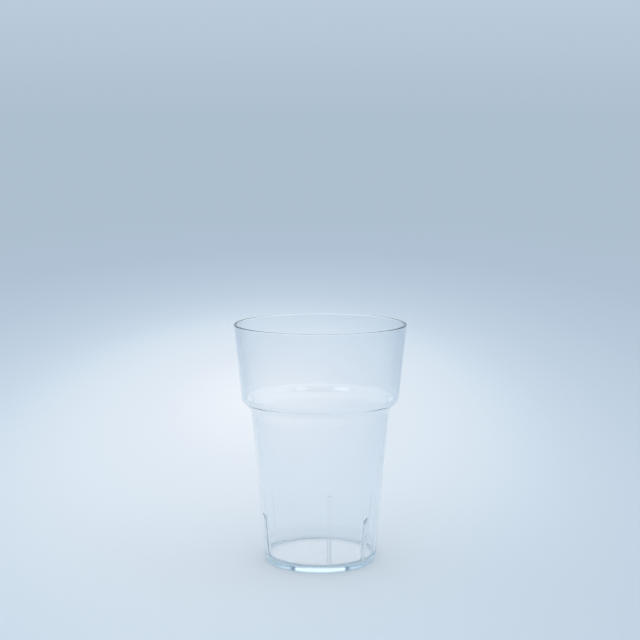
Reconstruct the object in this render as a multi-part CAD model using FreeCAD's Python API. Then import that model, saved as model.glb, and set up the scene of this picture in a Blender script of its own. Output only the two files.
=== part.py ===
import FreeCAD, Part
import math
import os

from FreeCAD import Vector

# Clear plastic stacking tumbler, one moulding, in millimetres.
# Origin: centre of the foot on the surface it stands on, +Z up, the nearest viewer towards -Y.

# Overall form
height = 106.0
rim_radius = 38.0
foot_radius = 24.7
body_draft = 4.9
band_draft = 5.5
wall = 1.2
lip_radius = 0.45

# Shoulder between the narrow body and the wide band
shoulder_z = 68.25
shoulder_pitch = 45.0
shoulder_wall = 1.2
shoulder_radius = 4.5
shoulder_inner_radius = 3.3
neck_radius = 7.0
neck_inner_radius = 8.2

# Base
foot_height = 0.4
foot_width = 2.0
foot_fillet = 0.15
heel_radius = 1.0
floor_thickness = 2.6
floor_fillet = 1.6
gate_radius = 1.5
gate_height = 0.1

# Stacking ribs inside the body, on which the foot of the next tumbler lands
rib_count = 3
first_rib_angle = 80.0
rib_height = 18.7
rib_depth = 1.2
rib_thickness = 1.4
rib_top_radius = 0.6
rib_edge_radius = 0.4

# Places that follow from the sizes above
body_slope = math.tan(math.radians(body_draft))
band_slope = math.tan(math.radians(band_draft))
body_wall = wall / math.cos(math.radians(body_draft))
band_wall = wall / math.cos(math.radians(band_draft))
floor_z = foot_height + floor_thickness
rib_top_z = floor_z + rib_height


def body_outer(z):
    return foot_radius + z * body_slope


def body_inner(z):
    return body_outer(z) - body_wall


def band_outer(z):
    return rim_radius - (height - z) * band_slope


def band_inner(z):
    return band_outer(z) - band_wall


def shoulder_corner(wall_radius, lift):
    """Where the sloping shoulder, raised by lift, meets the wall line wall_radius(z)."""
    pitch = math.tan(math.radians(shoulder_pitch))
    base = wall_radius(0)
    slope = wall_radius(1) - base
    z = (shoulder_z + lift + (base - body_outer(shoulder_z)) * pitch) / (1 - slope * pitch)
    return wall_radius(z), z


def rounded_wire(corners):
    """Closed wire in the XZ plane through (radius, height, rounding) corners."""
    points = [Vector(r, 0, z) for r, z, rounding in corners]
    count = len(points)
    starts = []
    ends = []
    arcs = []
    for i, (r, z, rounding) in enumerate(corners):
        corner = points[i]
        if rounding <= 0:
            starts.append(corner)
            ends.append(corner)
            arcs.append(None)
            continue
        back = (points[i - 1] - corner).normalize()
        ahead = (points[(i + 1) % count] - corner).normalize()
        half_angle = back.getAngle(ahead) / 2
        tangent = rounding / math.tan(half_angle)
        bisector = (back + ahead).normalize()
        middle = corner + bisector * (rounding / math.sin(half_angle) - rounding)
        starts.append(corner + back * tangent)
        ends.append(corner + ahead * tangent)
        arcs.append(Part.Arc(starts[i], middle, ends[i]).toShape())
    edges = []
    for i in range(count):
        if arcs[i] is not None:
            edges.append(arcs[i])
        edges.append(Part.LineSegment(ends[i], starts[(i + 1) % count]).toShape())
    return Part.Wire(edges)


def shell():
    """The turned form: wall, shoulder, rim, floor and foot."""
    foot_inner = foot_radius - foot_width
    lift = shoulder_wall / math.cos(math.radians(shoulder_pitch))
    corners = [
        (0, foot_height - gate_height, 0),
        (gate_radius, foot_height - gate_height, 0),
        (gate_radius, foot_height, 0),
        (foot_inner, foot_height, foot_fillet),
        (foot_inner, 0, foot_fillet),
        (foot_radius, 0, heel_radius),
        (*shoulder_corner(body_outer, 0), neck_radius),
        (*shoulder_corner(band_outer, 0), shoulder_radius),
        (rim_radius, height, lip_radius),
        (rim_radius - band_wall, height, lip_radius),
        (*shoulder_corner(band_inner, lift), shoulder_inner_radius),
        (*shoulder_corner(body_inner, lift), neck_inner_radius),
        (body_inner(floor_z), floor_z, floor_fillet),
        (0, floor_z, 0),
    ]
    face = Part.Face(rounded_wire(corners))
    return face.revolve(Vector(0, 0, 0), Vector(0, 0, 1), 360)


def rib():
    """One stacking rib along +X, rooted in the middle of the wall and of the floor."""
    root_z = floor_z - floor_thickness / 2
    root = body_wall / 2
    inner_top = body_inner(rib_top_z) - rib_depth
    inner_bottom = body_inner(root_z) - rib_depth
    corners = [
        (body_inner(root_z) + root, root_z, 0),
        (body_inner(rib_top_z) + root, rib_top_z, 0),
        (inner_top, rib_top_z, rib_top_radius),
        (inner_bottom, root_z, 0),
    ]
    face = Part.Face(rounded_wire(corners))
    face.translate(Vector(0, -rib_thickness / 2, 0))
    blade = face.extrude(Vector(0, rib_thickness, 0))
    inner_edges = [
        edge for edge in blade.Edges
        if abs(edge.Vertexes[0].Y - edge.Vertexes[-1].Y) < 1e-6
        and min(v.Z for v in edge.Vertexes) < rib_top_z - 1e-6
        and max(v.X - body_inner(v.Z) for v in edge.Vertexes) < -rib_edge_radius
    ]
    return blade.makeFillet(rib_edge_radius, inner_edges)


tumbler = shell()
for number in range(rib_count):
    angle = first_rib_angle + number * 360 / rib_count
    tumbler = tumbler.fuse(rib().rotate(Vector(0, 0, 0), Vector(0, 0, 1), angle))
tumbler = tumbler.removeSplitter()

os.makedirs("parts", exist_ok=True)
tumbler.exportStep("parts/tumbler.step")
box = tumbler.optimalBoundingBox(True, False)
print("solids", len(tumbler.Solids), "valid", tumbler.isValid())
print("box", round(box.XLength, 3), round(box.YLength, 3), round(box.ZLength, 3))
print("plastic volume cm3", round(tumbler.Volume / 1000, 3))
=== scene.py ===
import math

import bpy
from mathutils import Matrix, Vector


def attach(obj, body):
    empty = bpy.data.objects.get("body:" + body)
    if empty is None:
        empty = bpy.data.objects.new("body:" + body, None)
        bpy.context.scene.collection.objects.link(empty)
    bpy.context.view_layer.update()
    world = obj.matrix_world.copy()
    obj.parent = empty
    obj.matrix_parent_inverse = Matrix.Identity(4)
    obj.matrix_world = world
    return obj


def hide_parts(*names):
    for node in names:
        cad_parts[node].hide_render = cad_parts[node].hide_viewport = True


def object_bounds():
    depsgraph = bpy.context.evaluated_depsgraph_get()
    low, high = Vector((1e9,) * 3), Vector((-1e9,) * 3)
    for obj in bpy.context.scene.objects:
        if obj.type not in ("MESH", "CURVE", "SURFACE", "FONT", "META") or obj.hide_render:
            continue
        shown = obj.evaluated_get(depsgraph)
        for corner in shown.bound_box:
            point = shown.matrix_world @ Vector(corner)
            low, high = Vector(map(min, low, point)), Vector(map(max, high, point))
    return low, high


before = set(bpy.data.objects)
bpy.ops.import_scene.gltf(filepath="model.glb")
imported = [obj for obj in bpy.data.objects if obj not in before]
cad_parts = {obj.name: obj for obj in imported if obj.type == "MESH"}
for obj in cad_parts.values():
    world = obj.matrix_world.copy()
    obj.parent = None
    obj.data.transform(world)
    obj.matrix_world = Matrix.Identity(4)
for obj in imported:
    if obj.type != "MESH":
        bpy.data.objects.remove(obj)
cadLow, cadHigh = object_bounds()
print("frame loaded")

mm = 0.001


def toLinear(red, green, blue):
    # a screen colour, 0 to 255, as the light value that nodes take
    return tuple((c / 255) ** 2.2 for c in (red, green, blue)) + (1.0,)


def addNode(tree, kind, **values):
    node = tree.nodes.new(kind)
    for name, value in values.items():
        setattr(node, name, value)
    return node


def colorRamp(tree, factor, stops, name=""):
    ramp = addNode(tree, "ShaderNodeValToRGB", name=name)
    tree.links.new(factor, ramp.inputs["Fac"])
    elements = ramp.color_ramp.elements
    while len(elements) > 1:
        elements.remove(elements[-1])
    elements[0].position, elements[0].color = stops[0][0], toLinear(*stops[0][1])
    for position, color in stops[1:]:
        elements.new(position).color = toLinear(*color)
    return ramp.outputs["Color"]


# The tumbler: one turned form in clear plastic, with three ribs inside. Millimetres.
tumbler = {
    "height": cadHigh.z / mm,
    "rimRadius": 38.0,
    "footRadius": 24.7,
    "bodyDraft": 4.9,
    "bandDraft": 5.5,
    "wall": 1.2,
    "lipRound": 0.45,
    "shoulderZ": 68.25,
    "shoulderPitch": 45.0,
    "shoulderWall": 1.2,
    "shoulderRound": 4.5,
    "shoulderInnerRound": 3.3,
    "neckRound": 7.0,
    "neckInnerRound": 8.2,
    "footHeight": 0.4,
    "footWidth": 2.0,
    "footRound": 0.15,
    "heelRound": 1.0,
    "floorThickness": 2.6,
    "floorRound": 1.6,
    "gateRadius": 1.5,
    "gateHeight": 0.1,
    "gateRound": 0.045,
    "ribAngles": (80.0, 200.0, 320.0),
    "ribHeight": 18.7,
    "ribDepth": 1.2,
    "ribHalfWidth": 0.7,
    "ribEdgeRound": 1.0,
    "ribTopRound": 0.6,
    "ribFootRound": 0.3,
    "aboveRibs": 1.0,          # from this far above the ribs the inner wall is the same all round
    "plainStart": 0.5,         # the wall between the ribs starts this far above their tops
    "plainStations": 300,      # steps round the form away from the ribs
    "stationStep": 0.15,       # step across a rib
    "stationGrowth": 1.25,     # the steps beside a rib grow by this until they are plain
    "arcStep": 9.0,            # degrees of bend between points on a rounding
    "runStep": 4.0,            # longest step along a straight run
    "endStep": 0.12,           # short steps where a run meets a rounding
    "endGrowth": 3,            # the steps grow by this away from the ends
    "leastStep": 0.05,         # points closer than this are left out
}


def bodyOuter(z):
    return tumbler["footRadius"] + z * math.tan(math.radians(tumbler["bodyDraft"]))


def bodyInner(z):
    return bodyOuter(z) - tumbler["wall"] / math.cos(math.radians(tumbler["bodyDraft"]))


def bandOuter(z):
    return tumbler["rimRadius"] - (tumbler["height"] - z) * math.tan(math.radians(tumbler["bandDraft"]))


def bandInner(z):
    return bandOuter(z) - tumbler["wall"] / math.cos(math.radians(tumbler["bandDraft"]))


def shoulderCorner(wallRadius, lift):
    # where the sloping shoulder, raised by lift, meets the wall line wallRadius(z)
    pitch = math.tan(math.radians(tumbler["shoulderPitch"]))
    base = wallRadius(0)
    slope = wallRadius(1) - base
    start = tumbler["shoulderZ"]
    z = (start + lift + (base - bodyOuter(start)) * pitch) / (1 - slope * pitch)
    return wallRadius(z), z


def straightRun(start, end):
    # points after start up to end, closer together at both ends so that the shading stays true
    length = (end - start).length
    if length < 1e-6:
        return []
    marks = {0.0, length}
    growth, least = tumbler["endGrowth"], tumbler["leastStep"]
    step = tumbler["endStep"]
    while step < length / 2:
        marks.update((step, length - step))
        step *= growth
        if step > tumbler["runStep"]:
            plain = length - 2 * step / growth
            count = int(plain / tumbler["runStep"])
            for i in range(1, count + 1):
                marks.add(step / growth + plain * i / (count + 1))
            break
    ordered = sorted(marks)
    kept = [ordered[0]]
    for mark in ordered[1:-1]:
        if mark - kept[-1] > least and length - mark > least:
            kept.append(mark)
    kept.append(length)
    return [start.lerp(end, mark / length) for mark in kept[1:]]


def roundedOutline(corners):
    # open outline through (radius, height, rounding) corners, as points on runs and arcs
    points = [Vector((r, z)) for r, z, rounding in corners]
    outline = [points[0]]
    for i in range(1, len(corners)):
        rounding = corners[i][2]
        if rounding <= 0 or i == len(corners) - 1:
            outline += straightRun(outline[-1], points[i])
            continue
        back = (points[i - 1] - points[i]).normalized()
        ahead = (points[i + 1] - points[i]).normalized()
        half = back.angle(ahead) / 2
        tangent = rounding / math.tan(half)
        centre = points[i] + (back + ahead).normalized() * rounding / math.sin(half)
        start = points[i] + back * tangent
        outline += straightRun(outline[-1], start)
        arm = start - centre
        turn = math.pi - 2 * half
        if back.x * ahead.y - back.y * ahead.x > 0:
            turn = -turn
        steps = max(3, round(math.degrees(abs(turn)) / tumbler["arcStep"]))
        for k in range(1, steps + 1):
            a = turn * k / steps
            outline.append(centre + Vector((
                arm.x * math.cos(a) - arm.y * math.sin(a),
                arm.x * math.sin(a) + arm.y * math.cos(a),
            )))
    return outline


def tumblerOutlines():
    t = tumbler
    footInner = t["footRadius"] - t["footWidth"]
    floorZ = t["footHeight"] + t["floorThickness"]
    ribTop = floorZ + t["ribHeight"]
    bandThick = t["wall"] / math.cos(math.radians(t["bandDraft"]))
    lift = t["shoulderWall"] / math.cos(math.radians(t["shoulderPitch"]))
    shared = roundedOutline([
        (0, t["footHeight"] - t["gateHeight"], 0),
        (t["gateRadius"], t["footHeight"] - t["gateHeight"], t["gateRound"]),
        (t["gateRadius"], t["footHeight"], t["gateRound"]),
        (footInner, t["footHeight"], t["footRound"]),
        (footInner, 0, t["footRound"]),
        (t["footRadius"], 0, t["heelRound"]),
        (*shoulderCorner(bodyOuter, 0), t["neckRound"]),
        (*shoulderCorner(bandOuter, 0), t["shoulderRound"]),
        (t["rimRadius"], t["height"], t["lipRound"]),
        (t["rimRadius"] - bandThick, t["height"], t["lipRound"]),
        (*shoulderCorner(bandInner, lift), t["shoulderInnerRound"]),
        (*shoulderCorner(bodyInner, lift), t["neckInnerRound"]),
        (bodyInner(ribTop + t["aboveRibs"]), ribTop + t["aboveRibs"], 0),
    ])
    ribFace = roundedOutline([
        (bodyInner(ribTop), ribTop, 0),
        (bodyInner(ribTop) - t["ribDepth"], ribTop, t["ribTopRound"]),
        (bodyInner(floorZ) - t["ribDepth"], floorZ, t["ribFootRound"]),
        (0, floorZ, 0),
    ])
    wallFace = roundedOutline([
        (bodyInner(ribTop + t["plainStart"]), ribTop + t["plainStart"], 0),
        (bodyInner(floorZ), floorZ, t["floorRound"]),
        (0, floorZ, 0),
    ])
    return shared, respace(ribFace, wallFace), wallFace


def respace(outline, model):
    # the same outline with as many points as the model, spread in the same shares of its length
    def shares(points):
        total = [0.0]
        for a, b in zip(points, points[1:]):
            total.append(total[-1] + (b - a).length)
        return [v / total[-1] for v in total]
    have = shares(outline)
    result = []
    for share in shares(model):
        i = max(k for k in range(len(have)) if have[k] <= share + 1e-9)
        i = min(i, len(outline) - 2)
        span = have[i + 1] - have[i]
        result.append(outline[i].lerp(outline[i + 1], (share - have[i]) / span))
    return result


def ribMiddleRadius():
    # from the axis to the middle of a rib, for turning millimetres across it into degrees
    t = tumbler
    return bodyInner(t["footHeight"] + t["floorThickness"] + t["ribHeight"] / 2) - t["ribDepth"] / 2


def ribShare(outlineAngle):
    # how much of the rib's form a station has: 1 on the rib, 0 on the plain wall
    t = tumbler
    nearest = min(abs((outlineAngle - a + 180) % 360 - 180) for a in t["ribAngles"])
    offset = math.radians(nearest) * ribMiddleRadius()
    inside = t["ribHalfWidth"] - t["ribEdgeRound"] / 2
    outside = t["ribHalfWidth"] + t["ribEdgeRound"] / 2
    share = min(1.0, max(0.0, (outside - offset) / (outside - inside)))
    return 0.5 - 0.5 * math.cos(math.pi * share)


def stationAngles():
    t = tumbler
    middleRadius = ribMiddleRadius()
    step = math.degrees(t["stationStep"] / middleRadius)
    turns = [0.0]
    while turns[-1] * math.radians(middleRadius) < t["ribHalfWidth"] + t["ribEdgeRound"] / 2:
        turns.append(turns[-1] + step)
    while step * t["stationGrowth"] < 360 / t["plainStations"]:
        step *= t["stationGrowth"]
        turns.append(turns[-1] + step)
    angles = []
    for i, middle in enumerate(t["ribAngles"]):
        angles += [middle - turn for turn in turns[:0:-1]] + [middle + turn for turn in turns]
        following = t["ribAngles"][(i + 1) % len(t["ribAngles"])]
        gap = (following - middle) % 360 - 2 * turns[-1]
        count = round(gap * t["plainStations"] / 360)
        angles += [middle + turns[-1] + gap * k / count for k in range(1, count)]
    return angles


def buildTumbler():
    shared, ribFace, wallFace = tumblerOutlines()
    angles = stationAngles()
    perStation = len(shared) + len(wallFace) - 2    # the two end points, on the axis, are made once
    vertices = []
    for angle in angles:
        share = ribShare(angle)
        outline = shared[1:] + [w.lerp(r, share) for w, r in zip(wallFace, ribFace)][:-1]
        cosine, sine = math.cos(math.radians(angle)), math.sin(math.radians(angle))
        vertices += [(p.x * cosine * mm, p.x * sine * mm, p.y * mm) for p in outline]
    underside, floorMiddle = len(vertices), len(vertices) + 1
    vertices += [(0, 0, shared[0].y * mm), (0, 0, wallFace[-1].y * mm)]
    faces = []
    for i in range(len(angles)):
        a, b = i * perStation, (i + 1) % len(angles) * perStation
        faces.append((underside, b, a))
        for k in range(perStation - 1):
            faces.append((a + k, b + k, b + k + 1, a + k + 1))
        faces.append((a + perStation - 1, b + perStation - 1, floorMiddle))
    mesh = bpy.data.meshes.new("tumblerForm")
    mesh.from_pydata(vertices, [], faces)
    mesh.validate()
    for polygon in mesh.polygons:
        polygon.use_smooth = True
    piece = bpy.data.objects.new("tumblerForm", mesh)
    bpy.context.collection.objects.link(piece)
    return piece


tumblerForm = buildTumbler()
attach(tumblerForm, "root")
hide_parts("tumbler")
print("tumbler built", len(tumblerForm.data.polygons), "faces")


# Clear moulded plastic
plastic = {
    "tint": (253, 254, 255),
    "ior": 1.585,
    "roughness": 0.015,
    "flowScale": 22.0,          # slow waves that the melt leaves in the wall
    "flowDetail": 1.0,
    "flowHeight": 0.00004,
    "shadowTint": (255, 255, 255),
    "depthColor": (0.10, 0.45, 0.60, 1.0),   # light left in the thickest parts
    "depthDensity": 9.0,
}


def clearPlastic():
    p = plastic
    material = bpy.data.materials.new("clearPlastic")
    material.use_nodes = True
    tree = material.node_tree
    tree.nodes.clear()
    place = addNode(tree, "ShaderNodeTexCoord")
    shader = addNode(tree, "ShaderNodeBsdfPrincipled")
    shader.inputs["Base Color"].default_value = toLinear(*p["tint"])
    shader.inputs["Roughness"].default_value = p["roughness"]
    shader.inputs["IOR"].default_value = p["ior"]
    shader.inputs["Transmission Weight"].default_value = 1.0
    flow = addNode(tree, "ShaderNodeTexNoise")
    flow.inputs["Scale"].default_value = p["flowScale"]
    flow.inputs["Detail"].default_value = p["flowDetail"]
    tree.links.new(place.outputs["Object"], flow.inputs["Vector"])
    bump = addNode(tree, "ShaderNodeBump")
    bump.inputs["Distance"].default_value = p["flowHeight"]
    tree.links.new(flow.outputs["Fac"], bump.inputs["Height"])
    tree.links.new(bump.outputs["Normal"], shader.inputs["Normal"])
    passing = addNode(tree, "ShaderNodeBsdfTransparent")
    passing.inputs["Color"].default_value = toLinear(*p["shadowTint"])
    path = addNode(tree, "ShaderNodeLightPath")
    mix = addNode(tree, "ShaderNodeMixShader")
    tree.links.new(path.outputs["Is Shadow Ray"], mix.inputs["Fac"])
    tree.links.new(shader.outputs["BSDF"], mix.inputs[1])
    tree.links.new(passing.outputs["BSDF"], mix.inputs[2])
    output = addNode(tree, "ShaderNodeOutputMaterial")
    tree.links.new(mix.outputs["Shader"], output.inputs["Surface"])
    depth = addNode(tree, "ShaderNodeVolumeAbsorption")
    depth.inputs["Color"].default_value = p["depthColor"]
    depth.inputs["Density"].default_value = p["depthDensity"]
    tree.links.new(depth.outputs["Volume"], output.inputs["Volume"])
    return material


tumblerForm.data.materials.append(clearPlastic())
print("plastic made")


# Floor, with a painted pool of light in its colour, and surroundings
studio = {
    "floorRadius": 9.0,
    "floorCorners": 96,
    "paintedPoolCentre": (-0.04, 0.4, 0),     # centre of the painted pool of light, where the floor colour is palest, metres
    "paintedPoolStretch": (3.0, 1.0, 1.0),   # the painted pool of light is narrower from side to side
    "paintedPoolSpan": 1.6,                  # the painted pool of light fades out over this distance
    # floor colours outward from the centre of the painted pool of light: light painted into the floor,
    # palest behind the cup and darker away from it
    "paintedPoolStops": (
        (0.0, (254, 254, 254)),
        (0.075, (247, 249, 251)),
        (0.15, (237, 242, 246)),
        (0.225, (233, 240, 245)),
        (0.3, (225, 235, 242)),
        (0.38, (211, 223, 233)),
        (0.48, (203, 216, 228)),
        (0.64, (194, 209, 221)),
        (1.0, (185, 200, 213)),
    ),
    "fade": (1.2, 3.2),                # from here to here the floor turns into the far sky
    "skyStops": (                      # by height, 0.5 level with the eye
        (0.0, (166, 184, 200)),
        (0.515, (166, 184, 200)),
        (0.56, (180, 196, 212)),
        (0.7, (200, 210, 222)),
        (0.76, (250, 252, 255)),
        (0.93, (250, 252, 255)),
        (0.965, (180, 190, 202)),
        (1.0, (175, 185, 197)),
    ),
    "windowHeight": (0.13, 0.19, 0.50, 0.58),   # the bright panel behind: fades in, fades out
    "windowBack": (0.0, 0.1),          # and from front to back it fades in here
    "skyStrength": 1.08,
    "windowStrength": 1.4,
    "windowStops": (                   # its light by distance to the side
        (0.0, (247, 251, 254)),
        (0.33, (247, 251, 254)),
        (0.35, (115, 130, 150)),
        (0.38, (125, 140, 160)),
        (0.44, (205, 216, 228)),
        (1.0, (205, 216, 228)),
    ),
}


def smoothRange(tree, value, start, end, before=0.0, after=1.0):
    span = addNode(tree, "ShaderNodeMapRange", interpolation_type="SMOOTHSTEP")
    span.inputs["From Min"].default_value, span.inputs["From Max"].default_value = start, end
    span.inputs["To Min"].default_value, span.inputs["To Max"].default_value = before, after
    tree.links.new(value, span.inputs["Value"])
    return span.outputs["Result"]


def product(tree, a, b):
    node = addNode(tree, "ShaderNodeMath", operation="MULTIPLY")
    tree.links.new(a, node.inputs[0])
    tree.links.new(b, node.inputs[1])
    return node.outputs["Value"]


def buildFloor():
    s = studio
    mesh = bpy.data.meshes.new("floor")
    count = s["floorCorners"]
    corners = [2 * math.pi * k / count for k in range(count)]
    ring = [(s["floorRadius"] * math.cos(a), s["floorRadius"] * math.sin(a), 0) for a in corners]
    mesh.from_pydata(ring, [], [tuple(range(count))])
    floor = bpy.data.objects.new("floor", mesh)
    bpy.context.collection.objects.link(floor)
    material = bpy.data.materials.new("floorWithPaintedPool")
    material.use_nodes = True
    tree = material.node_tree
    tree.nodes.clear()
    place = addNode(tree, "ShaderNodeTexCoord")
    offset = addNode(tree, "ShaderNodeVectorMath", operation="SUBTRACT")
    tree.links.new(place.outputs["Object"], offset.inputs[0])
    offset.inputs[1].default_value = s["paintedPoolCentre"]
    stretched = addNode(tree, "ShaderNodeVectorMath", operation="MULTIPLY")
    tree.links.new(offset.outputs["Vector"], stretched.inputs[0])
    stretched.inputs[1].default_value = s["paintedPoolStretch"]
    away = addNode(tree, "ShaderNodeVectorMath", operation="LENGTH")
    tree.links.new(stretched.outputs["Vector"], away.inputs[0])
    span = addNode(tree, "ShaderNodeMapRange")
    span.inputs["From Max"].default_value = s["paintedPoolSpan"]
    tree.links.new(away.outputs["Value"], span.inputs["Value"])
    # the floor's colour carries the painted pool of light, palest at its centre and darker with
    # distance
    color = colorRamp(tree, span.outputs["Result"], s["paintedPoolStops"], "paintedPoolRamp")
    tree.nodes["paintedPoolRamp"].color_ramp.interpolation = "B_SPLINE"
    diffuse = addNode(tree, "ShaderNodeBsdfDiffuse")
    tree.links.new(color, diffuse.inputs["Color"])
    far = addNode(tree, "ShaderNodeEmission")
    far.inputs["Color"].default_value = toLinear(*s["skyStops"][1][1])
    far.inputs["Strength"].default_value = s["skyStrength"]
    blend = addNode(tree, "ShaderNodeMixShader")
    tree.links.new(smoothRange(tree, away.outputs["Value"], *s["fade"]), blend.inputs["Fac"])
    tree.links.new(diffuse.outputs["BSDF"], blend.inputs[1])
    tree.links.new(far.outputs["Emission"], blend.inputs[2])
    output = addNode(tree, "ShaderNodeOutputMaterial")
    tree.links.new(blend.outputs["Shader"], output.inputs["Surface"])
    floor.data.materials.append(material)
    return floor


def buildSky():
    s = studio
    world = bpy.data.worlds.new("studio")
    bpy.context.scene.world = world
    world.use_nodes = True
    tree = world.node_tree
    background = tree.nodes["Background"]
    place = addNode(tree, "ShaderNodeTexCoord")
    parts = addNode(tree, "ShaderNodeSeparateXYZ")
    tree.links.new(place.outputs["Generated"], parts.inputs["Vector"])
    height = addNode(tree, "ShaderNodeMapRange")
    height.inputs["From Min"].default_value = -1.0
    tree.links.new(parts.outputs["Z"], height.inputs["Value"])
    sky = colorRamp(tree, height.outputs["Result"], s["skyStops"], "skyRamp")
    aside = addNode(tree, "ShaderNodeMath", operation="ABSOLUTE")
    tree.links.new(parts.outputs["X"], aside.inputs[0])
    panel = colorRamp(tree, aside.outputs["Value"], s["windowStops"], "windowRamp")
    low, full, dim, high = s["windowHeight"]
    share = product(
        tree,
        smoothRange(tree, parts.outputs["Z"], low, full),
        smoothRange(tree, parts.outputs["Z"], dim, high, 1.0, 0.0),
    )
    share = product(tree, share, smoothRange(tree, parts.outputs["Y"], *s["windowBack"]))
    # a colour mix takes its colours at sockets 6 and 7 and gives the result at 2
    both = addNode(tree, "ShaderNodeMix", data_type="RGBA")
    tree.links.new(share, both.inputs["Factor"])
    tree.links.new(sky, both.inputs[6])
    tree.links.new(panel, both.inputs[7])
    tree.links.new(both.outputs[2], background.inputs["Color"])
    strength = smoothRange(tree, share, 0.0, 1.0, s["skyStrength"], s["windowStrength"])
    tree.links.new(strength, background.inputs["Strength"])


def softbox(name, place, aim, width, depth, power):
    lamp = bpy.data.lights.new(name, "AREA")
    lamp.shape = "RECTANGLE"
    lamp.size, lamp.size_y, lamp.energy = width, depth, power
    holder = bpy.data.objects.new(name, lamp)
    holder.location = place
    holder.rotation_euler = (Vector(aim) - Vector(place)).to_track_quat("-Z", "Y").to_euler()
    bpy.context.collection.objects.link(holder)


floor = buildFloor()
buildSky()
lamps = {                              # place and aim, width and depth, all in metres, and watts
    "leftStrip": ((-0.385, -0.045, 1.2), (0, 0.03, 0.07), 0.2, 0.35, 0.3),
    "rightStrip": ((0.34, -0.08, 1.2), (0, 0.03, 0.07), 0.15, 0.2, 0.08),
}
for name, (place, aim, width, depth, power) in lamps.items():
    softbox(name, place, aim, width, depth, power)
print("studio lit")


# Camera at the photograph's place
view = {
    "distance": 0.583,
    "rise": 0.1789,
    "pitchDown": 6.99,
    "focalPixels": 1335.0,
    "pixelsAcross": 640,
    "sensor": 36.0,
    "axisShift": 0.25,        # the cup's axis lies this many pixels right of the middle
    "bounces": 128,           # light crosses many walls of clear plastic on its way
}
cameraData = bpy.data.cameras.new("camera")
cameraData.sensor_width = view["sensor"]
cameraData.lens = view["focalPixels"] / view["pixelsAcross"] * view["sensor"]
camera = bpy.data.objects.new("camera", cameraData)
aside = -view["axisShift"] / view["focalPixels"] * view["distance"]
camera.location = (aside, -view["distance"], view["rise"])
camera.rotation_euler = (math.radians(90 - view["pitchDown"]), 0, 0)
bpy.context.collection.objects.link(camera)
scene = bpy.context.scene
scene.camera = camera
scene.view_settings.view_transform = "Standard"
scene.cycles.max_bounces = view["bounces"]
scene.cycles.transmission_bounces = view["bounces"]
scene.cycles.glossy_bounces = view["bounces"]
print("camera set")
